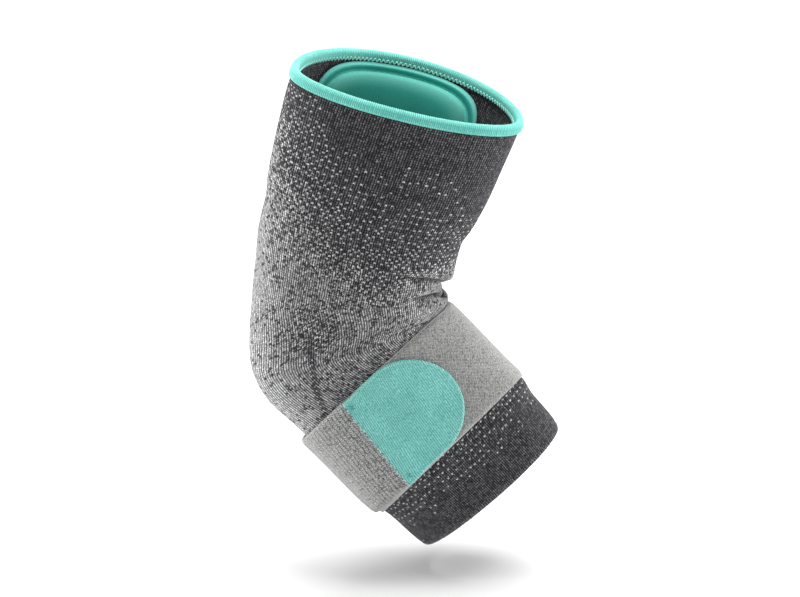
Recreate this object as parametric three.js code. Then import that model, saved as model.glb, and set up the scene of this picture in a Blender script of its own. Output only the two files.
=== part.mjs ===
import * as THREE from "three";

const { degToRad, radToDeg, lerp, clamp, smoothstep } = THREE.MathUtils;

// Elbow brace in millimetres, +Z up, as worn on an elbow bent in the plane Y = 0.
// The origin is the elbow's centre, where the axes of upper arm and forearm cross.
// +X is the crook side, -X the side of the elbow's tip, and -Y the brace's front.

// The arm line: two straight stretches joined by a round bend
const upperLength = 121.5; // elbow centre to the top of the welt
const foreLength = 115.4; // elbow centre to the hem
const bendRadius = 70;
const flexion = degToRad(60.3);
const upperLean = degToRad(17.7); // upper arm away from upright
const rimSkew = 3.8; // the rim climbs this much from the arm's axis to the crook side

// Half-widths of the sleeve in the bend plane, and its depth in front of and behind it
const rimHalf = 56;
const elbowHalf = 48;
const hemHalf = 45.5;
const rimFront = 30.5;
const elbowFront = 26;
const hemFront = 20.5;
const rimBack = 57;
const elbowBack = 47;
const hemBack = 36.5;
const frontFullness = 2.1; // 2 is an ellipse, more is squarer
const backFullness = 1.92;

// Sleeve
const sleeveWall = 1.8;
const foldDepth = 3.6; // the deepest crease in the crook
const gap = 0.3; // between any two pieces that touch on the real brace

// Welt, folded over the sleeve's top edge
const weltHeight = 5;
const weltLeg = 0.9; // thickness of each leg
const weltCrown = 1.9; // thickness over the sleeve's edge

// Strap round the forearm
const strapWidth = 52;
const strapStart = 32.9; // elbow centre to the strap's upper edge, along the forearm
const strapSkew = 1.9; // the strap sits this much lower on the elbow side
const upperLift = 6.8; // the upper edge in front lies this much nearer to the elbow
const lowerLift = 5.8; // and the lower edge
const loopThickness = 1.5;
const loopPeek = 2.4; // the loop band shows this much past the elastic, on the elbow side
const elasticThickness = 1.8;
const elasticEnd = degToRad(62); // where its sewn end lies, behind the arm

// Hook tab
const tabLength = 48.5;
const tabSlant = 5.3; // the straight edge's upper end lies this much nearer to the crook
const tabThickness = 1.4;
const tabLap = 6; // of the tab over the elastic's end
const tabStep = 7; // in which the tab comes down onto the loop band
const tabAngle = degToRad(-113); // of the straight edge's middle, round the arm

// Gel pad
const padWidth = 99; // along the curved wall
const padHeight = 82;
const padFlange = 2.4;
const padCushion = 10;
const padBelowWelt = 0.3;
const padAngle = degToRad(90);
const padGap = 0.5; // wider than the other gaps, for the wall's flat facets

// Mesh fineness
const aroundCount = 40;
const foreRows = 9;
const bendRows = 24;
const upperRows = 9;

// Widths of the sleeve along the arm line, as shares of the half-width there.
// at is the share of the stretch, from its hem end to its rim end.
const sections = [
  { stretch: "fore", at: 0.0, outer: 0.965, inner: 0.94 },
  { stretch: "fore", at: 0.06, outer: 0.991, inner: 0.976 },
  { stretch: "fore", at: 0.3, outer: 1.003, inner: 0.99 },
  { stretch: "fore", at: 0.39, outer: 1.02, inner: 1.018 },
  { stretch: "fore", at: 0.56, outer: 1.03, inner: 0.998 },
  { stretch: "bend", at: 0.0, outer: 1.006, inner: 0.975 },
  { stretch: "bend", at: 0.12, outer: 1.034, inner: 0.965 },
  { stretch: "bend", at: 0.24, outer: 1.112, inner: 0.948 },
  { stretch: "bend", at: 0.31, outer: 1.138, inner: 0.932 },
  { stretch: "bend", at: 0.38, outer: 1.136, inner: 0.92 },
  { stretch: "bend", at: 0.46, outer: 1.096, inner: 0.975 },
  { stretch: "bend", at: 0.54, outer: 1.045, inner: 0.997 },
  { stretch: "bend", at: 0.66, outer: 0.984, inner: 0.985 },
  { stretch: "bend", at: 0.82, outer: 0.962, inner: 0.99 },
  { stretch: "upper", at: 0.0, outer: 1.0, inner: 1.008 },
  { stretch: "upper", at: 0.13, outer: 1.0, inner: 0.975 },
  { stretch: "upper", at: 0.25, outer: 1.022, inner: 0.98 },
  { stretch: "upper", at: 0.49, outer: 1.032, inner: 1.01 },
  { stretch: "upper", at: 0.74, outer: 1.022, inner: 1.01 },
  { stretch: "upper", at: 1.0, outer: 0.995, inner: 1.0 },
];

// Creases in the crook: at and climb are shares of the bend, depth and width of foldDepth.
// Within spread, in degrees round the arm, a crease climbs; at reach it ends.
const creases = [
  { at: 0.78, climb: 0.17, spread: 20, depth: 0.61, width: 0.72, reach: 74 },
  { at: 0.59, climb: 0.14, spread: 20, depth: 0.5, width: 0.67, reach: 62 },
  { at: 0.69, climb: 0.15, spread: 20, depth: 0.44, width: 0.89, reach: 40 },
  { at: 1.24, climb: 0.12, spread: 40, depth: 0.28, width: 1.25, reach: 60 },
];
const foldBehind = 0.5; // share of its reach that a crease runs behind the arm

// Stations are lengths along the arm line, from the hem to the top of the welt
const tangentLength = bendRadius * Math.tan(flexion / 2);
const bendLength = bendRadius * flexion;
const stretches = {
  fore: { start: 0, length: foreLength - tangentLength },
  bend: { start: foreLength - tangentLength, length: bendLength },
  upper: { start: foreLength - tangentLength + bendLength, length: upperLength - tangentLength },
};
const bendStart = stretches.bend.start;
const bendEnd = stretches.upper.start;
const rimStation = bendEnd + stretches.upper.length;

function tangentAt(angle) {
  return new THREE.Vector3(Math.sin(angle), 0, Math.cos(angle));
}

function crookwardAt(angle) {
  return new THREE.Vector3(Math.cos(angle), 0, -Math.sin(angle));
}

const bendCentre = tangentAt(upperLean)
  .multiplyScalar(tangentLength)
  .addScaledVector(crookwardAt(upperLean), bendRadius);

// Point, tangent and crook direction of the arm line at a station
function armLine(station) {
  const turn = clamp((station - bendStart) / bendLength, 0, 1);
  const angle = upperLean - flexion * (1 - turn);
  const tangent = tangentAt(angle);
  const crookward = crookwardAt(angle);
  const past = Math.min(station - bendStart, 0) + Math.max(station - bendEnd, 0);
  const point = bendCentre.clone().addScaledVector(crookward, -bendRadius).addScaledVector(tangent, past);
  return { point, crookward };
}

function stationOf(row) {
  return stretches[row.stretch].start + stretches[row.stretch].length * row.at;
}

// Smooth curve through table rows, as a function of the station
function smoothThrough(rows, column) {
  const xs = rows.map(stationOf);
  const ys = rows.map((row) => row[column]);
  const last = xs.length - 1;
  const slopes = xs.map((x, i) => {
    const before = Math.max(i - 1, 0);
    const after = Math.min(i + 1, last);
    return (ys[after] - ys[before]) / (xs[after] - xs[before]);
  });
  return (x) => {
    if (x <= xs[0]) return ys[0];
    if (x >= xs[last]) return ys[last];
    const i = xs.findIndex((value) => value > x) - 1;
    const span = xs[i + 1] - xs[i];
    const u = (x - xs[i]) / span;
    const ease = u * u * (3 - 2 * u);
    const leave = u * (1 - u) * (1 - u) * span * slopes[i];
    const arrive = u * u * (u - 1) * span * slopes[i + 1];
    return lerp(ys[i], ys[i + 1], ease) + leave + arrive;
  };
}

const outerShare = smoothThrough(sections, "outer");
const innerShare = smoothThrough(sections, "inner");

// A size named at the hem, the elbow and the rim, at any station between
function between(hemSize, elbowSize, rimSize, station) {
  const elbowStation = (bendStart + bendEnd) / 2;
  if (station < elbowStation) return lerp(hemSize, elbowSize, Math.max(station, 0) / elbowStation);
  return lerp(elbowSize, rimSize, clamp((station - elbowStation) / (rimStation - elbowStation), 0, 1));
}

function halfWidth(station) {
  if (station < bendStart) return lerp(hemHalf, elbowHalf, Math.max(station, 0) / bendStart);
  return lerp(elbowHalf, rimHalf, clamp((station - bendEnd) / (rimStation - bendEnd), 0, 1));
}

// The smooth outer face of the sleeve. The angle is 0 at the crook line, 180 degrees
// at the elbow's tip and -90 degrees in front.
function smoothSkin(station, angle) {
  const cosine = Math.cos(angle);
  const sine = Math.sin(angle);
  const power = 2 / (sine < 0 ? frontFullness : backFullness);
  const share = cosine < 0 ? outerShare(station) : innerShare(station);
  const depth = sine < 0
    ? between(hemFront, elbowFront, rimFront, station)
    : between(hemBack, elbowBack, rimBack, station);
  const across = Math.sign(cosine) * Math.abs(cosine) ** power * share * halfWidth(station);
  const { point, crookward } = armLine(station);
  point.addScaledVector(crookward, across);
  point.y = Math.sign(sine) * Math.abs(sine) ** power * depth;
  return point;
}

function skinNormal(station, angle) {
  const reach = 0.4;
  const swing = 0.02;
  const along = smoothSkin(station + reach, angle).sub(smoothSkin(station - reach, angle));
  const around = smoothSkin(station, angle + swing).sub(smoothSkin(station, angle - swing));
  return around.cross(along).normalize();
}

// A point at a height over the sleeve's smooth outer face, less below it
function overSkin(station, angle, height) {
  return smoothSkin(station, angle).addScaledVector(skinNormal(station, angle), height);
}

// How far the creases draw the sleeve in
function creaseDepth(station, angle) {
  const away = radToDeg(Math.abs(Math.atan2(Math.sin(angle), Math.cos(angle))));
  const { point, crookward } = armLine(station);
  const across = smoothSkin(station, angle).sub(point).dot(crookward);
  const turn = (station - bendStart) / bendLength;
  const crowding = turn > 0 && turn < 1.05 ? 1 - Math.max(across, 0) / bendRadius : 1;
  let depth = 0;
  for (const crease of creases) {
    const reach = crease.reach * (Math.sin(angle) < 0 ? 1 : foldBehind);
    const climb = crease.climb * (1 - Math.exp(-((away / crease.spread) ** 2)));
    const centre = bendStart + bendLength * (crease.at + climb);
    const off = ((station - centre) * crowding) / (crease.width * foldDepth);
    const fade = 1 - smoothstep(away, reach * 0.6, reach);
    depth += crease.depth * foldDepth * fade * Math.exp(-off * off);
  }
  return depth;
}

function geometryOf(points, triangles) {
  const geometry = new THREE.BufferGeometry();
  geometry.setFromPoints(points);
  geometry.setIndex(triangles.flat());
  geometry.computeVertexNormals();
  return geometry;
}

// Sweeps a closed profile of count points through columns. A closed sweep joins its
// last column to its first, an open one is capped, pairing the profile's two halves.
function sweep(count, columns, closed, pointAt) {
  const points = [];
  const triangles = [];
  for (let column = 0; column < columns; column++) {
    for (let index = 0; index < count; index++) points.push(pointAt(index, column));
  }
  const id = (index, column) => (column % columns) * count + (index % count);
  const quad = (a, b, c, d) => triangles.push([a, b, c], [a, c, d]);
  for (let column = 0; column < (closed ? columns : columns - 1); column++) {
    for (let index = 0; index < count; index++) {
      quad(id(index, column), id(index, column + 1), id(index + 1, column + 1), id(index + 1, column));
    }
  }
  for (let index = 0; !closed && index < count / 2 - 1; index++) {
    const mate = count - 1 - index;
    const end = columns - 1;
    quad(id(index, 0), id(index + 1, 0), id(mate - 1, 0), id(mate, 0));
    quad(id(mate, end), id(mate - 1, end), id(index + 1, end), id(index, end));
  }
  return geometryOf(points, triangles);
}

// Sweeps an open profile, whose two ends are poles, once around
function domeSweep(count, columns, pointAt) {
  const points = [pointAt(0, 0), pointAt(count - 1, 0)];
  const triangles = [];
  for (let column = 0; column < columns; column++) {
    for (let index = 1; index < count - 1; index++) points.push(pointAt(index, column));
  }
  const id = (index, column) => {
    if (index === 0) return 0;
    if (index === count - 1) return 1;
    return 2 + (column % columns) * (count - 2) + index - 1;
  };
  for (let column = 0; column < columns; column++) {
    for (let index = 0; index < count - 1; index++) {
      const [a, b] = [id(index, column), id(index, column + 1)];
      const [c, d] = [id(index + 1, column + 1), id(index + 1, column)];
      if (a !== b) triangles.push([a, b, c]);
      if (c !== d) triangles.push([a, c, d]);
    }
  }
  return geometryOf(points, triangles);
}

function columnAngle(column) {
  return (column / aroundCount) * 2 * Math.PI;
}

// The top of the welt, which climbs to the crook side
function rimAt(angle) {
  return rimStation + rimSkew * Math.cos(angle);
}

function sleeveTop(angle) {
  return rimAt(angle) - weltCrown - gap;
}

function sleeveStations(angle) {
  const stations = [];
  const hemEdge = sleeveWall / 2;
  for (let i = 0; i < foreRows; i++) stations.push(lerp(hemEdge, bendStart, (i / foreRows) ** 1.25));
  for (let i = 0; i < bendRows; i++) stations.push(lerp(bendStart, bendEnd, i / bendRows));
  for (let i = 0; i <= upperRows; i++) stations.push(lerp(bendEnd, sleeveTop(angle), (i / upperRows) ** 1.25));
  return stations;
}

function kneadedSkin(station, angle, height) {
  return overSkin(station, angle, height - creaseDepth(station, angle));
}

function knitSleeve() {
  const rows = foreRows + bendRows + upperRows + 1;
  return sweep(2 * rows + 1, aroundCount, true, (index, column) => {
    const angle = columnAngle(column);
    const stations = sleeveStations(angle);
    if (index === 2 * rows) return kneadedSkin(0, angle, -sleeveWall / 2);
    if (index < rows) return kneadedSkin(stations[index], angle, 0);
    return kneadedSkin(stations[2 * rows - 1 - index], angle, -sleeveWall);
  });
}

// The welt's section: up its outer face, over the crown and down the inner face, then
// round the slot that holds the sleeve's edge
function topWelt() {
  const outside = gap + weltLeg;
  const inside = -sleeveWall - gap - weltLeg;
  const bulge = 0.5;
  const shoulder = weltHeight * 0.22;
  const profile = [
    { down: weltHeight, height: outside - bulge },
    { down: weltHeight * 0.6, height: outside },
    { down: shoulder, height: outside - bulge * 0.4 },
    { down: 0, height: lerp(outside, inside, 0.28) },
    { down: 0, height: lerp(outside, inside, 0.72) },
    { down: shoulder, height: inside + bulge * 0.4 },
    { down: weltHeight * 0.6, height: inside },
    { down: weltHeight, height: inside + bulge },
    { down: weltHeight, height: -sleeveWall - gap },
    { down: weltCrown, height: -sleeveWall - gap },
    { down: weltCrown, height: gap },
    { down: weltHeight, height: gap },
  ];
  return sweep(profile.length, aroundCount, true, (index, column) => {
    const angle = columnAngle(column);
    return overSkin(rimAt(angle) - profile[index].down, angle, profile[index].height);
  });
}

// Station of the point that lies a length down the forearm, at an angle round it
function stationDownForearm(length, angle) {
  if (length >= tangentLength) return foreLength - length;
  let station = bendStart;
  for (let pass = 0; pass < 4; pass++) {
    const radius = bendCentre.distanceTo(smoothSkin(station, angle).setY(0));
    const turn = Math.asin(clamp((tangentLength - length) / radius, 0, 0.9));
    station = bendStart + bendRadius * turn;
  }
  return station;
}

// A point of the strap, a length below its upper edge
function onStrap(down, angle, height) {
  const lift = lerp(upperLift, lowerLift, down / strapWidth) * Math.sin(angle);
  const length = strapStart - strapSkew * Math.cos(angle) + lift + down;
  return overSkin(stationDownForearm(length, angle), angle, height);
}

// Distances round the arm along the middle of the strap, from the tab's straight edge
const walkSwing = degToRad(1.5);
const walked = [0];
for (let turn = walkSwing; turn < 2 * Math.PI; turn += walkSwing) {
  const here = onStrap(strapWidth / 2, tabAngle + turn, 0);
  walked.push(walked.at(-1) + here.distanceTo(onStrap(strapWidth / 2, tabAngle + turn - walkSwing, 0)));
}
const strapGirth = walked.at(-1);

// Angle at a distance from the tab's straight edge, negative towards the elbow's tip
function angleAfter(distance) {
  const onward = distance < 0 ? distance + strapGirth : distance;
  const next = Math.max(walked.findIndex((length) => length > onward), 1);
  const share = (onward - walked[next - 1]) / (walked[next] - walked[next - 1]);
  const angle = tabAngle + (next - 1 + share) * walkSwing;
  return distance < 0 ? angle - walked.length * walkSwing + walkSwing : angle;
}

// A layer of webbing: its outer face from the lower edge up, then its inner face
function webbing(columns, closed, pointAt, thickness) {
  const rows = 6;
  const edgeRound = 0.8;
  return sweep(2 * rows, columns, closed, (index, column) => {
    const outerFace = index < rows;
    const row = outerFace ? index : 2 * rows - 1 - index;
    const round = row === 0 || row === rows - 1 ? edgeRound : 1;
    return pointAt(column, row / (rows - 1), outerFace ? thickness * round : 0);
  });
}

const elasticBottom = gap + loopThickness + gap;

function strapLoopBand() {
  const tuckedIn = 0.6;
  return webbing(aroundCount, true, (column, share, height) => {
    const angle = columnAngle(column);
    const lower = strapWidth + loopPeek * (1 - Math.cos(angle)) / 2;
    return onStrap(lerp(lower, tuckedIn, share), angle, gap + height);
  }, loopThickness);
}

// A point of the elastic or the tab, at a distance from the tab's straight edge, which
// slants across the strap
function besideTab(distance, down, height) {
  const fadeLength = distance < 0 ? -2.5 * tabLength : tabLength - strapWidth / 2;
  const slant = tabSlant * (0.5 - down / strapWidth) * Math.max(1 - distance / fadeLength, 0);
  return onStrap(down, angleAfter(distance + slant), height);
}

function strapElastic() {
  const columns = 30;
  const behind = elasticEnd - tabAngle;
  const start = walked[Math.round(behind / walkSwing)] - strapGirth;
  return webbing(columns, false, (column, share, height) => {
    const distance = lerp(start, tabLap, column / (columns - 1));
    return besideTab(distance, lerp(strapWidth, 0, share), elasticBottom + height);
  }, elasticThickness);
}

// The tab runs round the arm from its straight edge to its half-round end
function strapTab() {
  const radius = strapWidth / 2;
  const straightEnd = tabLength - radius;
  const onElastic = elasticBottom + elasticThickness + gap;
  const roundColumns = 9;
  const lastTurn = degToRad(86);
  const distances = [0, tabLap / 2, tabLap + gap];
  for (let i = 1; i <= 3; i++) distances.push(tabLap + gap + (tabStep * i) / 3);
  distances.push(lerp(distances.at(-1), straightEnd, 0.5));
  for (let i = 0; i <= roundColumns; i++) {
    distances.push(straightEnd + radius * Math.sin((lastTurn * i) / roundColumns));
  }
  return webbing(distances.length, false, (column, share, height) => {
    const distance = distances[column];
    const beyond = Math.max(distance - straightEnd, 0);
    const half = Math.sqrt(radius * radius - beyond * beyond);
    const settled = smoothstep(distance, tabLap + gap, tabLap + gap + tabStep);
    const bottom = lerp(onElastic, elasticBottom, settled);
    return besideTab(distance, radius + lerp(half, -half, share), bottom + height);
  }, tabThickness);
}

// The pad lies against the sleeve's inner face. Its profile runs from the middle of
// the cushion over the groove and the flange to the middle of the pad's back.
function gelPad() {
  const columns = 32;
  const squareness = 5;
  const profile = [
    { share: 0, rise: padCushion },
    { share: 0.5, rise: padCushion },
    { share: 0.72, rise: lerp(padFlange, padCushion, 0.84) },
    { share: 0.84, rise: lerp(padFlange, padCushion, 0.35) },
    { share: 0.87, rise: padFlange * 0.7 },
    { share: 0.91, rise: padFlange },
    { share: 0.98, rise: padFlange * 0.9 },
    { share: 1, rise: padFlange * 0.45 },
    { share: 1, rise: 0 },
    { share: 0.6, rise: 0 },
    { share: 0, rise: 0 },
  ];
  const wallRadius = rimBack - sleeveWall;
  return domeSweep(profile.length, columns, (index, column) => {
    const turn = (column / columns) * 2 * Math.PI;
    const round = (Math.abs(Math.cos(turn)) ** squareness + Math.abs(Math.sin(turn)) ** squareness) ** (-1 / squareness);
    const { share, rise } = profile[index];
    const around = round * Math.cos(turn) * share * padWidth / 2;
    const along = round * Math.sin(turn) * share * padHeight / 2;
    const angle = padAngle + around / wallRadius;
    const middle = rimAt(angle) - weltHeight - padBelowWelt - padHeight / 2;
    return kneadedSkin(middle + along, angle, -sleeveWall - padGap - rise);
  });
}

const charcoalKnit = new THREE.MeshStandardMaterial({ color: 0x5a5b60, roughness: 0.9, metalness: 0 });
const tealKnit = new THREE.MeshStandardMaterial({ color: 0x4cc0ad, roughness: 0.75, metalness: 0 });
const tealGel = new THREE.MeshStandardMaterial({ color: 0x45bfa6, roughness: 0.55, metalness: 0 });
const greyLoop = new THREE.MeshStandardMaterial({ color: 0x97979a, roughness: 0.95, metalness: 0 });
const greyWebbing = new THREE.MeshStandardMaterial({ color: 0xa9a9a9, roughness: 0.9, metalness: 0 });

function piece(name, geometry, material) {
  const mesh = new THREE.Mesh(geometry, material);
  mesh.name = name;
  return mesh;
}

const group = new THREE.Group();
group.add(
  piece("knit_sleeve", knitSleeve(), charcoalKnit),
  piece("top_welt", topWelt(), tealKnit),
  piece("gel_pad", gelPad(), tealGel),
  piece("strap_loop_band", strapLoopBand(), greyLoop),
  piece("strap_elastic", strapElastic(), greyWebbing),
  piece("strap_tab", strapTab(), tealKnit),
);

export default group;
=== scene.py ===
# Knitted elbow brace: sleeve with a rolled welt, an inner gel pad and a forearm strap
import math

import bpy
import numpy as np
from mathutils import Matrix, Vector, noise


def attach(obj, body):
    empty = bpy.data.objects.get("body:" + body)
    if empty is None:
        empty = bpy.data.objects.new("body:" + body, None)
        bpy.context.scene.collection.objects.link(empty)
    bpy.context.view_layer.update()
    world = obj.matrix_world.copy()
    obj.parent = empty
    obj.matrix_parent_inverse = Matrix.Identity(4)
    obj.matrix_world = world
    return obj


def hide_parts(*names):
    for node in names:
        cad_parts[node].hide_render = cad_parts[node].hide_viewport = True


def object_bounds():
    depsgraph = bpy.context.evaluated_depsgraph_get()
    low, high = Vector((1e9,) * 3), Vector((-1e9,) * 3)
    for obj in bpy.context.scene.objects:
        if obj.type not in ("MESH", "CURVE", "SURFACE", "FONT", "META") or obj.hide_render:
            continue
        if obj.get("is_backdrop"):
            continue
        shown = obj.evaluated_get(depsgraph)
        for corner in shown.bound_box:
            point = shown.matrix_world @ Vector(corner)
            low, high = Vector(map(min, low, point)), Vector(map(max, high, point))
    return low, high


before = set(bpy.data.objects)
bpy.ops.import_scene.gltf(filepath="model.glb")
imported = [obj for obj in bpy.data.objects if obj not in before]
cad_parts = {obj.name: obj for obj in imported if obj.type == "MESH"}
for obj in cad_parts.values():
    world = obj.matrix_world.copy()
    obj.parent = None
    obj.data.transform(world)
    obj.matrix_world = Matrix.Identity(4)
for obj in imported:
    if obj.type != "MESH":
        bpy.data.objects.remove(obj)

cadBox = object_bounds()
gap = 0.0003  # between any two pieces that touch

# The arm line and the sleeve's widths, as the solids have them
arm = {
    "upperLength": 0.1215,
    "foreLength": 0.1154,
    "bendRadius": 0.070,
    "flexion": math.radians(60.3),
    "upperLean": math.radians(17.7),
    "rimSkew": 0.0038,
    "half": {"hem": 0.0455, "elbow": 0.048, "rim": 0.056},
    "front": {"hem": 0.0205, "elbow": 0.026, "rim": 0.0305},
    "back": {"hem": 0.0365, "elbow": 0.047, "rim": 0.057},
    "frontFullness": 2.1,
    "backFullness": 1.92,
    "wall": 0.0018,
}

# Widths along the arm line: share of the stretch, then on the elbow side and on the crook side
sections = {
    "fore": [
        (0.0, 0.965, 0.94), (0.06, 0.991, 0.976), (0.3, 1.003, 0.99), (0.39, 1.02, 1.018),
        (0.56, 1.03, 0.998),
    ],
    "bend": [
        (0.0, 1.006, 0.975), (0.12, 1.034, 0.965), (0.24, 1.112, 0.948), (0.31, 1.138, 0.932),
        (0.38, 1.136, 0.92), (0.46, 1.096, 0.975), (0.54, 1.045, 0.997), (0.66, 0.984, 0.985),
        (0.82, 0.962, 0.99),
    ],
    "upper": [
        (0.0, 1.0, 1.008), (0.13, 1.0, 0.975), (0.25, 1.022, 0.98), (0.49, 1.032, 1.01),
        (0.74, 1.022, 1.01), (1.0, 0.995, 1.0),
    ],
}

tangentLength = arm["bendRadius"] * math.tan(arm["flexion"] / 2)
bendLength = arm["bendRadius"] * arm["flexion"]
bendStart = arm["foreLength"] - tangentLength
bendEnd = bendStart + bendLength
rimStation = bendEnd + arm["upperLength"] - tangentLength
stretches = {
    "fore": (0, bendStart),
    "bend": (bendStart, bendLength),
    "upper": (bendEnd, rimStation - bendEnd),
}


def smoothstep(low, high, value):
    share = np.clip((value - low) / (high - low), 0, 1)
    return share * share * (3 - 2 * share)


def tangentAt(angle):
    return np.stack([np.sin(angle), 0 * angle, np.cos(angle)], -1)


def crookwardAt(angle):
    return np.stack([np.cos(angle), 0 * angle, -np.sin(angle)], -1)


upAxis = tangentAt(np.float64(arm["upperLean"]))
foreAxis = tangentAt(np.float64(arm["upperLean"] - arm["flexion"]))
bendCentre = upAxis * tangentLength + crookwardAt(np.float64(arm["upperLean"])) * arm["bendRadius"]


def armLine(station):
    turn = np.clip((station - bendStart) / bendLength, 0, 1)
    angle = arm["upperLean"] - arm["flexion"] * (1 - turn)
    crookward = crookwardAt(angle)
    past = np.minimum(station - bendStart, 0) + np.maximum(station - bendEnd, 0)
    return bendCentre - crookward * arm["bendRadius"] + tangentAt(angle) * past[..., None], crookward


def smoothThrough(xs, ys):
    last = len(xs) - 1
    before, after = np.maximum(np.arange(last + 1) - 1, 0), np.minimum(np.arange(last + 1) + 1, last)
    slopes = (ys[after] - ys[before]) / (xs[after] - xs[before])

    def valueAt(x):
        x = np.clip(x, xs[0], xs[last])
        i = np.clip(np.searchsorted(xs, x, side="right") - 1, 0, last - 1)
        span = xs[i + 1] - xs[i]
        u = (x - xs[i]) / span
        bend = u * (1 - u) ** 2 * span * slopes[i] + u * u * (u - 1) * span * slopes[i + 1]
        return ys[i] + (ys[i + 1] - ys[i]) * u * u * (3 - 2 * u) + bend
    return valueAt


sectionRows = [(stretches[name][0] + stretches[name][1] * at, outer, inner)
               for name, rows in sections.items() for at, outer, inner in rows]
sectionStations, outers, inners = np.array(sectionRows).T
outerShare = smoothThrough(sectionStations, outers)
innerShare = smoothThrough(sectionStations, inners)


def halfWidth(station):
    size = arm["half"]
    low = size["hem"] + (size["elbow"] - size["hem"]) * np.clip(station / bendStart, 0, 1)
    high = (size["rim"] - size["elbow"]) * np.clip((station - bendEnd) / (rimStation - bendEnd), 0, 1)
    return low + high


def depthOf(size, station):
    elbow = (bendStart + bendEnd) / 2
    low = size["hem"] + (size["elbow"] - size["hem"]) * np.clip(station / elbow, 0, 1)
    return low + (size["rim"] - size["elbow"]) * np.clip((station - elbow) / (rimStation - elbow), 0, 1)


# The sleeve's smooth outer face: angle 0 at the crook, 180 degrees at the elbow's tip, -90 in front
def smoothSkin(station, angle):
    station, angle = np.broadcast_arrays(np.float64(station), np.float64(angle))
    cosine, sine = np.cos(angle), np.sin(angle)
    front = sine < 0
    power = 2 / np.where(front, arm["frontFullness"], arm["backFullness"])
    share = np.where(cosine < 0, outerShare(station), innerShare(station))
    depth = np.where(front, depthOf(arm["front"], station), depthOf(arm["back"], station))
    across = np.sign(cosine) * np.abs(cosine) ** power * share * halfWidth(station)
    point, crookward = armLine(station)
    point = point + crookward * across[..., None]
    point[..., 1] = np.sign(sine) * np.abs(sine) ** power * depth
    return point


def unit(vectors):
    return vectors / np.linalg.norm(vectors, axis=-1, keepdims=True)


def skinNormal(station, angle):
    reach, swing = 0.0004, 0.02
    along = smoothSkin(station + reach, angle) - smoothSkin(station - reach, angle)
    around = smoothSkin(station, angle + swing) - smoothSkin(station, angle - swing)
    return unit(np.cross(around, along))


def overSkin(station, angle, height):
    return smoothSkin(station, angle) + skinNormal(station, angle) * np.float64(height)[..., None]


# Creases in the crook, as the solids have them: at and climb are shares of the bend, depth
# and width of foldDepth, spread and reach degrees round the arm
creases = [
    {"at": 0.78, "climb": 0.2, "spread": 20, "depth": 0.61, "width": 0.72, "reach": 74},
    {"at": 0.59, "climb": 0.14, "spread": 20, "depth": 0.5, "width": 0.67, "reach": 62},
    {"at": 0.69, "climb": 0.15, "spread": 20, "depth": 0.44, "width": 0.89, "reach": 40},
    {"at": 1.24, "climb": 0.12, "spread": 40, "depth": 0.28, "width": 1.25, "reach": 60},
]
foldDepth = 0.0036
foldBehind = 0.5  # share of its reach that a crease runs behind the arm
foldDrop = -0.6   # and of its climb there
foldLine = {"depth": 0.0014, "width": 0.0008, "count": 2}  # the deep line in the first creases, dark from its depth and from painted shade
foldLip = {"height": 0.0006, "over": 0.0044, "width": 0.003}  # the roll that hangs over a crease


def creaseParts(station, angle):  # for each crease: its depth, and how near its bottom line a point is
    away = np.abs(np.degrees(np.arctan2(np.sin(angle), np.cos(angle))))
    linePoint, crookward = armLine(station)
    across = ((smoothSkin(station, angle) - linePoint) * crookward).sum(-1)
    turn = (station - bendStart) / bendLength
    crowding = np.where((turn > 0) & (turn < 1.05), 1 - np.clip(across, 0, None) / arm["bendRadius"], 1)
    for crease in creases:
        reach = crease["reach"] * np.where(np.sin(angle) < 0, 1, foldBehind)
        climb = crease["climb"] * (1 - np.exp(-(away / crease["spread"]) ** 2))
        climb = climb * np.where(np.sin(angle) < 0, 1, foldDrop)
        off = (station - bendStart - bendLength * (crease["at"] + climb)) * crowding
        fade = 1 - smoothstep(reach * 0.6, reach, away)
        soft = np.exp(-(off / foldDepth / crease["width"]) ** 2)
        yield fade * foldDepth * crease["depth"] * soft, fade, off


def creaseDepth(station, angle):
    depth = 0 * (station + angle)
    for number, (soft, fade, off) in enumerate(creaseParts(station, angle)):
        depth = depth + soft
        if number < foldLine["count"]:
            depth = depth + fade * foldLine["depth"] * np.exp(-(off / foldLine["width"]) ** 2)
            lip = np.exp(-((off - foldLip["over"]) / foldLip["width"]) ** 2)
            depth = depth - fade * foldLip["height"] * lip
    return depth


# Painted shade along the bottom lines of the first creases, for the knit's colour
def foldShade(station, angle):
    lines = [fade * np.exp(-(off / foldLine["width"]) ** 2) for _, fade, off in creaseParts(station, angle)]
    return sum(lines[:foldLine["count"]])


def kneadedSkin(station, angle, height):
    return overSkin(station, angle, height - creaseDepth(station, angle))


def rimAt(angle):
    return rimStation + arm["rimSkew"] * np.cos(angle)


def roundAngles(count):
    return np.radians(np.linspace(0, 360, count, endpoint=False))


# Meshes
def newObject(name, data):
    added = bpy.data.objects.new(name, data)
    bpy.context.collection.objects.link(added)
    return added


def newPiece(name, points, faces, uvs=None, attributes=None):
    mesh = bpy.data.meshes.new(name)
    mesh.from_pydata(np.reshape(points, (-1, 3)).tolist(), [], faces)
    if uvs is not None:
        layer = mesh.uv_layers.new(name="fabric")
        layer.data.foreach_set("uv", np.reshape(uvs, -1).astype(np.float32))
    for key, values in (attributes or {}).items():
        attribute = mesh.attributes.new(key, "FLOAT", "POINT")
        attribute.data.foreach_set("value", np.reshape(values, -1).astype(np.float32))
    mesh.shade_smooth()
    mesh.update()
    return newObject(name, mesh)


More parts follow.
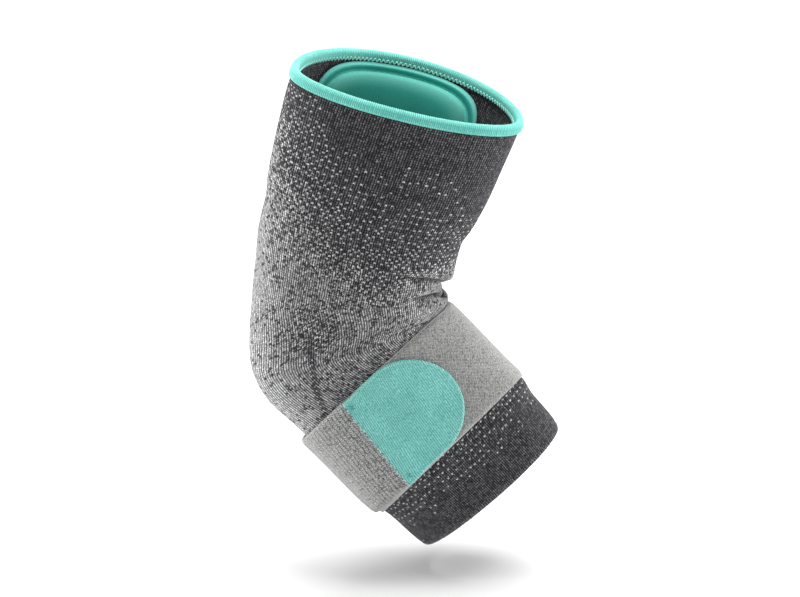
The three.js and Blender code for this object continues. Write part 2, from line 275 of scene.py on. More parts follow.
# Faces of a closed profile, rows long, swept through columns; an open sweep is capped
def sweepFaces(rows, columns, closed):
    faces, corners = [], []
    for column in range(columns if closed else columns - 1):
        here, beyond = column * rows, (column + 1) % columns * rows
        for row in range(rows):
            upper = (row + 1) % rows
            faces.append([here + row, beyond + row, beyond + upper, here + upper])
            corners.append([(column, row), (column + 1, row), (column + 1, row + 1), (column, row + 1)])
    if not closed:
        end = (columns - 1) * rows
        for row in range(rows // 2 - 1):
            mate = rows - 1 - row
            faces.append([row, row + 1, mate - 1, mate])
            corners.append([(0, row), (0, row + 1), (0, mate - 1), (0, mate)])
            faces.append([end + mate, end + mate - 1, end + row + 1, end + row])
            last = columns - 1
            corners.append([(last, mate), (last, mate - 1), (last, row + 1), (last, row)])
    return faces, np.array(corners)


# Shader building: sums of node outputs are written as plain sums
drawing = {}  # the node tree in hand


class Drawn:
    def __init__(self, socket):
        self.socket = socket

    def __add__(self, other):
        return maths("ADD", self, other)

    def __sub__(self, other):
        return maths("SUBTRACT", self, other)

    def __rsub__(self, other):
        return maths("SUBTRACT", other, self)

    def __mul__(self, other):
        return maths("MULTIPLY", self, other)

    def __truediv__(self, other):
        return maths("DIVIDE", self, other)

    def __abs__(self):
        return maths("ABSOLUTE", self)


def feed(socket, value):
    value = getattr(value, "socket", value)
    if isinstance(value, bpy.types.NodeSocket):
        drawing["tree"].links.new(value, socket)
    elif value is not None:
        socket.default_value = value


def newNode(kind, given, output=0, **settings):
    node = drawing["tree"].nodes.new(kind)
    for key, value in settings.items():
        setattr(node, key, value)
    for key, value in given.items():
        feed(node.inputs[key], value)
    return Drawn(node.outputs[output])


def maths(operation, *values, clamp=False):
    return newNode("ShaderNodeMath", dict(enumerate(values)), operation=operation, use_clamp=clamp)


def ramped(value, low, high, start=0.0, end=1.0):
    given = dict(enumerate((value, low, high, start, end)))
    return newNode("ShaderNodeMapRange", given, interpolation_type="SMOOTHSTEP")


def mixed(share, first, second, blend="MIX"):
    return newNode("ShaderNodeMix", {0: share, 6: first, 7: second}, 2, data_type="RGBA", blend_type=blend)


def grey(value):  # a number as a colour
    return newNode("ShaderNodeCombineColor", {0: value, 1: value, 2: value})


def shaded(colour, share):
    return mixed(1.0, colour, grey(share), "MULTIPLY")


def parted(place):  # a place's x, y and z
    node = drawing["tree"].nodes.new("ShaderNodeSeparateXYZ")
    feed(node.inputs[0], place)
    return [Drawn(output) for output in node.outputs]


def fabricPlace():  # metres round the piece and along it
    return parted(newNode("ShaderNodeUVMap", {}, uv_map="fabric"))[:2]


def objectPlace():
    return newNode("ShaderNodeTexCoord", {}, "Object")


def attributeOf(name):
    return newNode("ShaderNodeAttribute", {}, "Fac", attribute_name=name)


def cloudiness(place, scale, detail=2.0):
    return newNode("ShaderNodeTexNoise", {"Vector": place, "Scale": scale, "Detail": detail}, "Fac")


def diced(first, second, seed):  # a random number for each cell
    cell = {0: maths("FLOOR", first), 1: maths("FLOOR", second), 2: seed}
    return newNode("ShaderNodeTexWhiteNoise", {"Vector": newNode("ShaderNodeCombineXYZ", cell)}, "Value")


def offMiddle(value):  # 0 in the middle of each step of 1, 0.5 at its ends
    return abs(maths("FRACT", value) - 0.5)


def newMaterial(name, roughness, sheen=0.0, sheenTint=(1, 1, 1), specular=0.3):
    material = bpy.data.materials.new(name)
    material.use_nodes = True
    drawing["tree"] = material.node_tree
    shader = material.node_tree.nodes["Principled BSDF"]
    shader.inputs["Roughness"].default_value = roughness
    shader.inputs["Specular IOR Level"].default_value = specular
    shader.inputs["Sheen Weight"].default_value = sheen
    shader.inputs["Sheen Tint"].default_value = (*sheenTint, 1)
    return material, shader


def finishWith(shader, colour, height, depth):
    feed(shader.inputs["Base Color"], colour)
    bump = newNode("ShaderNodeBump", {"Strength": 1.0, "Distance": depth, "Height": height})
    feed(shader.inputs["Normal"], bump)


# Sleeve
sleeve = {
    "columns": 240,
    "foreRows": 46,
    "bendRows": 34,
    "creaseRows": 78,
    "creaseStart": 0.52,   # share of the bend where the close rows begin
    "upperRows": 57,
    "girth": 0.275,        # round the relaxed knit, for the pattern
    "mitre": 0.68,         # share of the bend where the forearm's ribs meet the upper arm's
    "foreTurn": 0.5,       # how far the forearm's ribs run on straight up to there
    "upperTurn": 0.3,      # and the upper arm's
    "elbowStretch": 0.0145,  # how far the ribs are drawn apart on the elbow's lower side
    "ripple": 0.00025,     # slight unevenness of the cloth
    "rippleScale": 48,
    "weltCrown": 0.0019,   # room for the welt's fold over the top edge
    "ribPitch": 0.275 / 236,
    "coursePitch": 0.00122,
    "dotAround": 0.275 / 82,
    "dotAlong": 0.0034,
    "gorePitch": 0.0027,
    "goreX": -0.0098,
    "goreBow": 4.6,
    "goreEnd": -0.041,
    "clusterX": -0.013,    # where the dark holes gather over the gore
    "clusterZ": 0.004,
    "dark": (0.117, 0.117, 0.124, 1),
    "light": (0.635, 0.635, 0.635, 1),
    # the light yarn over the front, darkened with painted shade
    "frontShadedLight": (0.43, 0.43, 0.43, 1),
    "dot": (0.60, 0.60, 0.60, 1),
}

# Where the light stitches come in, across from the elbow side, -1, to the crook, 1: the
# millimetres under the rim to the first ones, to a third, to all dots, and to the most light
stipple = {
    "across": [-0.95, -0.85, -0.71, -0.5, -0.26, 0.0, 0.26, 0.5, 0.75, 0.95],
    "first": [5, 6, 8, 18, 23, 16, 18, 24, 31, 35],
    "third": [9, 12, 16, 32, 50, 60, 58, 50, 48, 48],
    "dots": [14, 26, 36, 53, 70, 76, 82, 75, 71, 70],
    "dense": [95, 115, 120, 112, 98, 108, 108, 96, 86, 82],
    "most": [0.99, 0.98, 0.96, 0.89, 0.84, 0.84, 0.84, 0.86, 0.88, 0.9],
}


def evenAngles(stations, columns):  # angles that part the girth evenly, from the back seam on
    fine = np.radians(90 + np.linspace(0, 360, 721))
    points = smoothSkin(stations[:, None], fine[None, :])
    steps = np.linalg.norm(np.diff(points, axis=1), axis=-1)
    walked = np.concatenate([np.zeros((len(stations), 1)), np.cumsum(steps, 1)], 1)
    shares = np.linspace(0, 1, columns, endpoint=False)
    return np.array([np.interp(shares * row[-1], row, fine) for row in walked])


def stippleShare(below, above, across, isUpper):
    # metres under the rim, metres over the hem, and the place across
    places, *limits = stipple.values()
    first, third, dots, dense, most = (np.interp(across, places, limit) for limit in limits)
    under = below * 1000
    upper = 0.36 * np.clip((under - first) / (third - first), 0, 1)
    upper = upper + 0.26 * np.clip((under - third) / (dots - third), 0, 1)
    upper = upper + (most - 0.62) * np.clip((under - dots) / (dense - dots), 0, 1)
    fore = np.interp(above, [0.013, 0.021, 0.032, 0.06, 0.085], [-0.05, 0.24, 0.42, 0.66, 0.75])
    fore = fore + np.interp(across, [-1, -0.5, 0.5, 1], [0.14, 0.06, -0.04, -0.12])
    fore = fore + (most - fore) * smoothstep(0.05, 0.08, above)
    return np.clip(np.where(isUpper, upper, fore), 0, 1)


def makeSleeve():
    columns = sleeve["columns"]
    foreShares = (np.arange(sleeve["foreRows"]) / sleeve["foreRows"]) ** 1.15
    bendShares = np.linspace(0, sleeve["creaseStart"], sleeve["bendRows"], endpoint=False)
    creaseShares = np.linspace(sleeve["creaseStart"], 1, sleeve["creaseRows"], endpoint=False)
    upperShares = (np.arange(sleeve["upperRows"] + 1) / sleeve["upperRows"]) ** 1.3
    hemEdge = arm["wall"] / 2
    nominal = np.concatenate([
        hemEdge + (bendStart - hemEdge) * foreShares,
        bendStart + bendLength * bendShares,
        bendStart + bendLength * creaseShares,
        bendEnd + (rimStation - bendEnd) * upperShares,
    ])
    angles = evenAngles(nominal, columns)                      # rows by columns
    top = rimAt(angles[-1]) - sleeve["weltCrown"] - gap
    stations = np.repeat(nominal[:, None], columns, 1)
    rise = np.clip((nominal - bendEnd) / (rimStation - bendEnd), 0, 1)[:, None]
    stations = stations + rise * (top - rimStation)[None, :]
    thin = np.arange(len(nominal) - 1, -1, -2)                 # the inner face needs fewer rows
    outerFace = kneadedSkin(stations, angles, 0 * stations)
    innerFace = kneadedSkin(stations[thin], angles[thin], 0 * stations[thin] - arm["wall"])
    turnIn = np.radians([60, 0, -60])                          # the hem's rounded edge
    edge = [kneadedSkin(hemEdge * (1 - np.cos(a)) + 0 * angles[0], angles[0],
                        hemEdge * (-1 - np.sin(a)) + 0 * angles[0]) for a in turnIn]
    grid = np.concatenate([outerFace, innerFace, np.array(edge)], 0)
    allStations = np.concatenate([stations, stations[thin], stations[[0, 0, 0]]])
    allAngles = np.concatenate([angles, angles[thin], angles[[0, 0, 0]]])
    ripples = np.array([noise.noise(Vector(p) * sleeve["rippleScale"]) for p in grid.reshape(-1, 3)])
    ripples = ripples.reshape(grid.shape[:2])[..., None] * sleeve["ripple"]
    grid = grid + skinNormal(allStations, allAngles) * ripples

    rows = grid.shape[0]
    below = (upAxis * arm["upperLength"] - grid) @ upAxis
    above = (grid + foreAxis * arm["foreLength"]) @ foreAxis
    isUpper = allStations >= bendStart + bendLength * sleeve["mitre"]
    toCrook = np.cos(allAngles)
    share = stippleShare(below, above, toCrook, isUpper)
    share[len(nominal):] = 0                                   # plain inside
    # painted shade in the creases
    fold = foldShade(allStations, allAngles)
    steps = np.linalg.norm(np.diff(outerFace, axis=0), axis=-1)
    fromHem = np.concatenate([np.zeros((1, columns)), np.cumsum(steps, 0)])
    fromHem = np.concatenate([fromHem, fromHem[thin], fromHem[[0, 0, 0]]])
    fromRim = fromHem[len(nominal) - 1] - fromHem

    # Within the bend the ribs run on as on the straight stretches, and meet at the mitre
    linePoint, crookward = armLine(allStations)
    across = ((smoothSkin(allStations, allAngles) - linePoint) * crookward).sum(-1)
    frontward = -np.sin(allAngles)
    radius = arm["bendRadius"] - np.maximum(across, -0.012)
    turn = np.clip((allStations - bendStart) / bendLength, 0, 1) * arm["flexion"]
    foreTurned = frontward * radius * (1 - np.cos(turn)) * sleeve["foreTurn"]
    nearElbow = smoothstep(bendStart * 0.4, bendStart * 0.75, allStations)
    foreTurned = foreTurned - frontward * nearElbow * sleeve["elbowStretch"]
    upperTurned = frontward * radius * (1 - np.cos(arm["flexion"] - turn)) * sleeve["upperTurn"]
    faces, corners = sweepFaces(rows, columns, True)
    spot = corners[..., 1] % rows, corners[..., 0] % columns
    onUpper = isUpper[spot].all(-1, keepdims=True)
    around = corners[..., 0] / columns * sleeve["girth"]
    around = around + np.where(onUpper, upperTurned[spot], foreTurned[spot])
    along = np.where(onUpper, fromRim[spot], 0.4 + fromHem[spot])
    uvs = np.stack([around, along], -1)
    points = grid.transpose(1, 0, 2)
    # Painted shade: the light yarn is darker over the front than towards the elbow side and the crook
    frontness = smoothstep(-0.95, -0.5, toCrook) * (1 - 0.45 * smoothstep(0.1, 0.8, toCrook))
    return newPiece("sleeve_knit", points, faces, uvs,
                    {"stipple": share.T, "fold": fold.T, "frontness": frontness.T})


def knitMaterial():
    material, shader = newMaterial("charcoal knit", 0.95, 0.12, (0.8, 0.8, 0.85), 0.15)
    around, along = fabricPlace()
    place = objectPlace()
    share = attributeOf("stipple")
    patchy = cloudiness(place, 160, 3) - 0.5
    density = share + patchy * 0.22
    density = density * ramped(share, 0.0, 0.03)

    x, _, z = parted(place)
    squares = [maths("POWER", x - sleeve["clusterX"], 2.0), maths("POWER", z - sleeve["clusterZ"], 2.0)]
    away = maths("SQRT", squares[0] + squares[1])
    density = density - ramped(away, 0.024, 0.006, 0.0, 0.13)

    # Ribs with a leaning stitch in each course
    wander = (cloudiness(place, 420, 1) - 0.5) * 0.5
    rib = around / sleeve["ribPitch"] + wander
    course = along / sleeve["coursePitch"]
    offRidge = offMiddle(rib)
    ridge = ramped(offRidge, 0.5, 0.12)
    leaning = course + offRidge * 1.2
    leg = ramped(offMiddle(leaning), 0.5, 0.1)
    chance = diced(rib, leaning, 4.4)
    yarnTone = diced(rib, leaning, 9.1)

    # Light dots on two lattices, one half a step from the other, and dark holes in the light part
    lights, darks = [], []
    for seed, shift, spread, start in ((1.3, 0.0, 0.4, 0.0), (7.7, 0.5, 0.5, 0.32)):
        column = around / sleeve["dotAround"] + shift
        row = along / sleeve["dotAlong"] + shift
        threshold = maths("MULTIPLY_ADD", diced(column, row, seed), spread, start)
        lit = maths("LESS_THAN", threshold, density)
        aside = maths("MULTIPLY_ADD", diced(column, row, seed + 20), 0.26, -0.63)
        higher = maths("MULTIPLY_ADD", diced(column, row, seed + 40), 0.26, -0.57)
        sideways = abs(maths("FRACT", column) + aside)
        upright = maths("FRACT", row) + higher
        upright = abs(upright - sideways * 0.55)
        reach = maths("MAXIMUM", sideways, upright * 1.5)
        shape = lit * ramped(reach, 0.215, 0.12)
        brightness = maths("MULTIPLY_ADD", diced(column, row, seed + 60), 0.5, 0.5)
        lights.append(shape * brightness)
    for seed, shift in ((2.9, 0.25), (5.5, 0.75)):
        column = around / (sleeve["dotAround"] * 0.6) + shift
        row = along / (sleeve["dotAlong"] * 0.55) + shift
        column = column + wander * 0.8
        missing = maths("GREATER_THAN", diced(column, row, seed), density)
        reach = maths("MAXIMUM", offMiddle(column), offMiddle(row))
        darks.append(missing * ramped(reach, 0.42, 0.3))
    dots = maths("MAXIMUM", *lights) * ramped(density, 0.88, 0.7)
    holes = maths("MAXIMUM", *darks)
    ground = maths("LESS_THAN", chance, ramped(density, 0.54, 0.86, 0.0, 0.96))
    light = ground * (1.0 - holes)

    # The gore: dark stitches where the elbow's pocket joins the forearm
    line = maths("MULTIPLY_ADD", z * z, sleeve["goreBow"], sleeve["goreX"])
    offLine = abs(x - line)
    notch = z / sleeve["gorePitch"] + offLine * 300.0
    gore = ramped(offLine, 0.0019, 0.0013) * ramped(offMiddle(notch), 0.36, 0.24)
    gore = gore * ramped(z, sleeve["goreEnd"] - 0.002, sleeve["goreEnd"])
    gore = gore * ramped(z, 0.004, -0.002)
    bare = 1.0 - gore
    light = light * bare
    dots = dots * bare

    # Yarn colours, darker between the ribs, with painted shade in the creases
    openness = ramped(density, 0.85, 1.0, 0.02, 0.12)
    furrow = maths("MULTIPLY_ADD", ridge, 1.0 - openness, openness)
    evenness = ramped(density, 0.7, 0.95)
    legDepth = maths("MULTIPLY_ADD", evenness, -0.3, 0.7)
    leg = legDepth * (leg - 1.0)
    furrow = furrow * (leg + 1.0)
    yarnDepth = maths("MULTIPLY_ADD", evenness, -0.7, 1.3)
    yarnTone = yarnDepth * (yarnTone - 0.5)
    furrow = furrow * (yarnTone + 1.0)
    # painted shade: darker along the creases' bottom lines
    creaseShading = maths("MULTIPLY_ADD", attributeOf("fold"), -0.65, 1.0, clamp=True)
    # painted shade on the light yarn over the front
    shadedLightYarn = mixed(attributeOf("frontness"), sleeve["light"], sleeve["frontShadedLight"])
    colour = mixed(light, sleeve["dark"], shadedLightYarn)
    colour = shaded(colour, furrow)
    colour = mixed(dots, colour, sleeve["dot"])
    fibres = ramped(cloudiness(place, 1200, 2), 0.3, 0.7, 0.6, 1.4)
    colour = shaded(colour, creaseShading * fibres)
    height = ridge * 0.5 + leg * 0.25
    height = height + maths("MAXIMUM", light, dots) * 0.4
    finishWith(shader, colour, height, 0.0006)
    return material


sleevePiece = makeSleeve()
sleevePiece.data.materials.append(knitMaterial())
print("sleeve:", len(sleevePiece.data.polygons), "faces")


# Rows of threads along a path, by Geometry Nodes
def threadPiece(name, path, thickness, sides=5):
    path = np.array(path, float)
    steps = unit(np.gradient(path, axis=0))
    across = np.array([1.0, 0, 0]) if abs(steps[0][0]) < 0.5 else np.array([0, 1.0, 0])
    rings = []
    for point, step in zip(path, steps):
        second = unit(np.cross(step, across))
        for i in range(sides):
            turn = 2 * math.pi * (i + 0.5) / sides
            rings.append(point + thickness / 2 * (math.cos(turn) * across + math.sin(turn) * second))
    first, last = path[0] - steps[0] * thickness * 0.3, path[-1] + steps[-1] * thickness * 0.3
    points = rings + [first, last]
    faces = []
    for here in range(0, (len(path) - 1) * sides, sides):
        for i in range(sides):
            j = (i + 1) % sides
            faces.append([here + i, here + j, here + sides + j, here + sides + i])
    end = (len(path) - 1) * sides
    for i in range(sides):
        j = (i + 1) % sides
        faces.append([len(rings), j, i])
        faces.append([len(rings) + 1, end + i, end + j])
    return newPiece(name, np.array(points), faces)


def rowTree():
    tree = bpy.data.node_groups.new("thread row", "GeometryNodeTree")
    drawing["tree"] = tree
    tree.interface.new_socket(name="Geometry", in_out="OUTPUT", socket_type="NodeSocketGeometry")
    kinds = {"Path": "Geometry", "Pitch": "Float", "Thread": "Object", "Swing": "Float",
             "Unevenness": "Float", "Seed": "Int", "Finish": "Material"}
    for name, kind in kinds.items():
        tree.interface.new_socket(name=name, in_out="INPUT", socket_type="NodeSocket" + kind)
    given = tree.nodes.new("NodeGroupInput").outputs
    curve = newNode("GeometryNodeMeshToCurve", {"Mesh": given["Path"]})
    points = newNode("GeometryNodeResampleCurve", {"Curve": curve, "Length": given["Pitch"]}, mode="LENGTH")
    outward = newNode("GeometryNodeInputNamedAttribute", {"Name": "outward"}, "Attribute",
                      data_type="FLOAT_VECTOR")
    tangent = newNode("GeometryNodeInputTangent", {})
    turned = newNode("FunctionNodeAxesToRotation", {0: outward, 1: tangent},
                     primary_axis="Z", secondary_axis="X")
    odd = maths("MULTIPLY_ADD", maths("MODULO", newNode("GeometryNodeInputIndex", {}), 2.0), 2.0, -1.0)
    uneven = newNode("FunctionNodeRandomValue", {2: -1.0, 3: 1.0, "Seed": given["Seed"]}, 1,
                     data_type="FLOAT")
    lean = uneven * given["Unevenness"]
    swing = newNode("ShaderNodeCombineXYZ", {2: odd * given["Swing"] + lean})
    euler = newNode("FunctionNodeEulerToRotation", {0: swing})
    rotation = newNode("FunctionNodeRotateRotation", {0: turned, 1: euler}, rotation_space="LOCAL")
    thread = newNode("GeometryNodeObjectInfo", {0: given["Thread"]}, "Geometry", transform_space="ORIGINAL")
    size = maths("MULTIPLY_ADD", lean, 0.5, 1.0)
    placed = newNode("GeometryNodeInstanceOnPoints",
                     {"Points": points, "Instance": thread, "Rotation": rotation, "Scale": size})
    realised = newNode("GeometryNodeRealizeInstances", {0: placed})
    finished = newNode("GeometryNodeSetMaterial", {"Geometry": realised, "Material": given["Finish"]})
    feed(tree.nodes.new("NodeGroupOutput").inputs[0], finished)
    return tree


threadRow = rowTree()


def rowOfThreads(name, path, outward, thread, material, pitch, swing, unevenness, seed, closed=True):
    count = len(path)
    mesh = bpy.data.meshes.new(name + "_path")
    edges = [(i, (i + 1) % count) for i in range(count if closed else count - 1)]
    mesh.from_pydata(path.tolist(), edges, [])
    attribute = mesh.attributes.new("outward", "FLOAT_VECTOR", "POINT")
    attribute.data.foreach_set("vector", outward.astype(np.float32).ravel())
    guide = newObject(name + "_path", mesh)
    modifier = guide.modifiers.new("row", "NODES")
    modifier.node_group = threadRow
    values = {"Pitch": pitch, "Thread": thread, "Swing": swing, "Unevenness": unevenness,
              "Seed": seed, "Finish": material}
    for item in threadRow.interface.items_tree:
        if item.in_out == "INPUT" and item.name in values:
            modifier[item.identifier] = values[item.name]
    evaluated = guide.evaluated_get(bpy.context.evaluated_depsgraph_get())
    made = bpy.data.meshes.new_from_object(evaluated)
    made.name = name
    made.shade_smooth()
    guide.modifiers.clear()
    bpy.data.objects.remove(guide)
    bpy.data.objects.remove(thread)
    return newObject(name, made)


# Stitches along the hem
hem = {"pitch": 0.0013, "thread": 0.0004, "colour": (0.24, 0.24, 0.245, 1), "deep": (0.12, 0.12, 0.125, 1)}


def threadMaterial(name, colour, deep):  # light and dark lengths of twisted yarn
    material, shader = newMaterial(name, 0.8, 0.2, (1, 1, 1), 0.25)
    place = objectPlace()
    fine = cloudiness(place, 900, 2)
    finishWith(shader, mixed(ramped(fine, 0.4, 0.6), deep, colour), fine, 0.0001)
    return material


def makeHemLoops():
    angles = roundAngles(400)
    path = kneadedSkin(arm["wall"] / 2 + 0 * angles, angles, -arm["wall"] / 2 + 0 * angles)
    outward = skinNormal(0.001 + 0 * angles, angles)
    out = arm["wall"] / 2 + hem["thread"] * 0.2
    bow = [(0.0014, out), (0, out), (-out * 0.7, out * 0.7), (-out, 0), (-out * 0.7, -out * 0.7), (0, -out)]
    thread = threadPiece("hem_loop", [(0, y, z) for y, z in bow], hem["thread"])
    material = threadMaterial("hem thread", hem["colour"], hem["deep"])
    return rowOfThreads("hem_loops", path, outward, thread, material, hem["pitch"], 0.12, 0.1, 3)


hemLoops = makeHemLoops()
print("hem:", len(hemLoops.data.polygons), "loop faces")

# Welt, folded over the sleeve's top edge
welt = {
    "columns": 300,
    "height": 0.005,
    "leg": 0.0009,
    "crown": sleeve["weltCrown"],
    "crownDrop": 0.0024,
    "ribPitch": 0.00098,
    "ribThickness": 0.0008,
    "stitchPitch": 0.0011,
    "furrow": (0.09, 0.44, 0.38, 1),
    "thread": (0.29, 0.76, 0.67, 1),
    "threadDeep": (0.17, 0.56, 0.48, 1),
    "stitch": (0.42, 0.80, 0.71, 1),
}
weltOutside = gap + welt["leg"]
weltInside = -arm["wall"] - gap - welt["leg"]
weltMiddle = (weltOutside + weltInside) / 2
weltHalf = (weltOutside - weltInside) / 2


def weltProfile():
    steps = np.linspace(0, math.pi, 13)
    over = [(welt["crownDrop"] * (1 - math.sin(a)), weltMiddle + weltHalf * math.cos(a)) for a in steps]
    low, crown, inside = welt["height"], welt["crown"], -arm["wall"] - gap
    bulge = 0.0003
    outer = [(low, weltOutside - 0.0006), (low * 0.97, weltOutside - bulge), (low * 0.75, weltOutside)]
    inner = [(low * 0.75, weltInside), (low * 0.97, weltInside + bulge), (low, weltInside + 0.0006)]
    slot = [(low, inside), (crown, inside), (crown, gap), (low, gap)]
    return np.array(outer + over + inner + slot)


def tealMaterial(name, colour, deep, depth):
    material, shader = newMaterial(name, 0.75, 0.2, (0.6, 1.0, 0.9), 0.25)
    place = objectPlace()
    broad, fine = (cloudiness(place, 60, 2), cloudiness(place, 1500, 2))
    tone = broad * 0.5 + fine * 0.5
    finishWith(shader, mixed(ramped(tone, 0.35, 0.65), deep, colour), fine, depth)
    return material


def makeWelt():
    down, height = weltProfile().T
    angles = roundAngles(welt["columns"])
    points = np.array([overSkin(rimAt(a) - down, a + 0 * down, height) for a in angles])
    faces, _ = sweepFaces(len(down), welt["columns"], True)
    piece = newPiece("welt_roll", points, faces)
    piece.data.materials.append(tealMaterial("teal welt", welt["furrow"], welt["furrow"], 0.0002))
    return piece


def makeWeltRibs():
    angles = roundAngles(400)
    path = overSkin(rimAt(angles), angles, weltMiddle + 0 * angles)
    below = overSkin(rimAt(angles) - 0.003, angles, weltMiddle + 0 * angles)
    half = weltHalf - 0.0003
    low = welt["height"] - 0.0005
    bow = [(half * math.cos(a), -welt["crownDrop"] * (1 - math.sin(a))) for a in np.linspace(0, math.pi, 7)]
    bow = [(half, -low)] + bow + [(-half, -low)]
    thread = threadPiece("welt_rib", [(0, y, z) for y, z in bow], welt["ribThickness"])
    material = tealMaterial("teal rib", welt["thread"], welt["threadDeep"], 0.0001)
    outward = unit(path - below)
    return rowOfThreads("welt_ribs", path, outward, thread, material, welt["ribPitch"], 0, 0.03, 5)


def makeWeltStitches():
    angles = roundAngles(400)
    station = rimAt(angles) - welt["height"] + 0.0009
    path = overSkin(station, angles, weltInside - 0.0003 + 0 * angles)
    outward = -skinNormal(station, angles)
    reach = 0.0009
    bow = [(0, y, 0.0002 - y * y * 150) for y in np.linspace(-reach, reach, 5)]
    thread = threadPiece("zigzag_stitch", bow, 0.00055)
    material = tealMaterial("stitch thread", welt["stitch"], welt["thread"], 0.0001)
    return rowOfThreads("welt_stitches", path, outward, thread, material, welt["stitchPitch"],
                        math.radians(28), 0.05, 8)


weltPiece = makeWelt()
weltRibs = makeWeltRibs()
weltStitches = makeWeltStitches()
print("welt:", len(weltRibs.data.polygons), "rib faces")

# Gel pad
pad = {
    "width": 0.099,
    "height": 0.082,
    "flange": 0.0024,
    "cushion": 0.010,
    "belowWelt": 0.0003,
    "angle": math.radians(90),
    "gap": 0.0005,
    "squareness": 5,
    "columns": 144,
    "groove": 0.905,       # share of the way to the edge where the cushion is sewn in
    # Colours: the darker middle and the groove's dark trough are painted shade, the lighter shoulder is
    # painted light, and the light line on the groove's lip is a painted highlight
    "middle": (0.012, 0.235, 0.185, 1),
    "side": (0.022, 0.31, 0.25, 1),
    "shoulderLight": (0.08, 0.40, 0.335, 1),
    "grooveHighlight": (0.14, 0.70, 0.60, 1),
    "grooveShade": (0.02, 0.34, 0.28, 1),
    "edge": (0.17, 0.62, 0.54, 1),
}


def padRise(share):  # height of the pad's face over its back, by share of the way to its edge
    cushion = pad["cushion"] - pad["flange"]
    dome = np.clip(1 - (share / 0.895) ** 2, 0, 1) ** 0.42
    groove = -0.0011 * np.exp(-((share - pad["groove"]) / 0.014) ** 2)
    edge = 1 - 0.55 * smoothstep(0.96, 1.0, share)
    return (pad["flange"] + groove) * edge + cushion * dome


def makePad():
    columns = pad["columns"]
    shares = np.concatenate([np.linspace(0.03, 0.7, 16), np.linspace(0.72, 1.0, 34)])
    turns = roundAngles(columns)
    square = pad["squareness"]
    corner = (np.abs(np.cos(turns)) ** square + np.abs(np.sin(turns)) ** square) ** (-1 / square)
    wallRadius = arm["back"]["rim"] - arm["wall"]

    def at(share, rise):
        around = corner * np.cos(turns) * share * pad["width"] / 2
        along = corner * np.sin(turns) * share * pad["height"] / 2
        angle = pad["angle"] + around / wallRadius
        middle = rimAt(angle) - welt["height"] - pad["belowWelt"] - pad["height"] / 2
        return kneadedSkin(middle + along, angle, -arm["wall"] - pad["gap"] - rise + 0 * turns)
    rings = [at(share, padRise(share)) for share in shares]
    rings += [at(1.0, 0.0004), at(0.97, 0.0)] + [at(share, 0.0) for share in np.linspace(0.85, 0.05, 9)]
    grid = np.array(rings).transpose(1, 0, 2)
    count = len(rings)
    faces = []
    for column in range(columns):
        here, beyond = column * count, (column + 1) % columns * count
        for ring in range(count - 1):
            faces.append([here + ring, beyond + ring, beyond + ring + 1, here + ring + 1])
    points = grid.reshape(-1, 3)
    front, back = at(0.0, padRise(0.0))[0], at(0.0, 0.0)[0]
    points = np.vstack([points, front, back])
    for column in range(columns):
        beyond = (column + 1) % columns
        faces.append([len(points) - 2, beyond * count, column * count])
        faces.append([len(points) - 1, column * count + count - 1, beyond * count + count - 1])
    ringShares = np.concatenate([shares, np.ones(count - len(shares))])
    toEdge = np.concatenate([np.tile(ringShares, columns), [0, 1]])
    return newPiece("gel_cushion", points, faces, None, {"toEdge": toEdge})


def padMaterial():
    material, shader = newMaterial("teal gel", 0.6, 0.15, (0.5, 1.0, 0.9), 0.3)
    place = objectPlace()
    grain = cloudiness(place, 1900, 2)
    soft = cloudiness(place, 40, 2)
    toEdge = attributeOf("toEdge")
    fuzz = maths("MULTIPLY_ADD", grain - 0.5, 0.012, toEdge)
    # Painted shade darkens the middle and the groove's trough; painted light brightens the shoulder, and a
    # painted highlight lines the groove's lip
    colour = mixed(ramped(toEdge + soft, 0.7, 1.3), pad["middle"], pad["side"])
    bands = {"shoulderLight": (0.72, 0.86), "grooveHighlight": (0.886, 0.9), "grooveShade": (0.912, 0.925),
             "edge": (0.965, 0.985)}
    for key, (low, high) in bands.items():
        colour = mixed(ramped(fuzz, low, high), colour, pad[key])
    colour = shaded(colour, maths("MULTIPLY_ADD", grain, 0.3, 0.85))
    finishWith(shader, colour, grain, 0.0001)
    return material


padPiece = makePad()
padPiece.data.materials.append(padMaterial())
print("pad:", len(padPiece.data.polygons), "faces")

# Strap
strap = {
    "width": 0.052,
    "start": 0.0329,
    "skew": 0.0019,
    "upperLift": 0.0068,
    "lowerLift": 0.0058,
    "loopThickness": 0.0015,
    "loopPeek": 0.0024,
    "elasticThickness": 0.0018,
    "elasticEnd": math.radians(62),
    "loopColumns": 260,
    "elasticColumns": 200,
    "loopPitch": 0.00105,
    "webPitch": 0.0022,
    "webRow": 0.00105,
    "loopColour": (0.42, 0.42, 0.41, 1),
    "loopDark": (0.10, 0.10, 0.098, 1),
    "webColour": (0.53, 0.53, 0.52, 1),
    "webDark": (0.06, 0.06, 0.059, 1),
    "selvage": (0.56, 0.56, 0.55, 1),
}
tab = {
    "length": 0.0485,
    "slant": 0.0053,
    "thickness": 0.0014,
    "lap": 0.006,
    "step": 0.007,
    "angle": math.radians(-113),
    "twill": 0.00105,
    "edging": 0.0008,
    "colour": (0.29, 0.71, 0.66, 1),
    "deep": (0.085, 0.37, 0.335, 1),
    "border": (0.24, 0.62, 0.55, 1),
    "rim": (0.42, 0.80, 0.73, 1),
    "light": (0.66, 0.74, 0.72, 1),
    "tack": (0.05, 0.24, 0.22, 1),
    "shadow": (0.10, 0.13, 0.13, 1),
}
elasticBottom = gap + strap["loopThickness"] + gap
onElastic = elasticBottom + strap["elasticThickness"] + gap


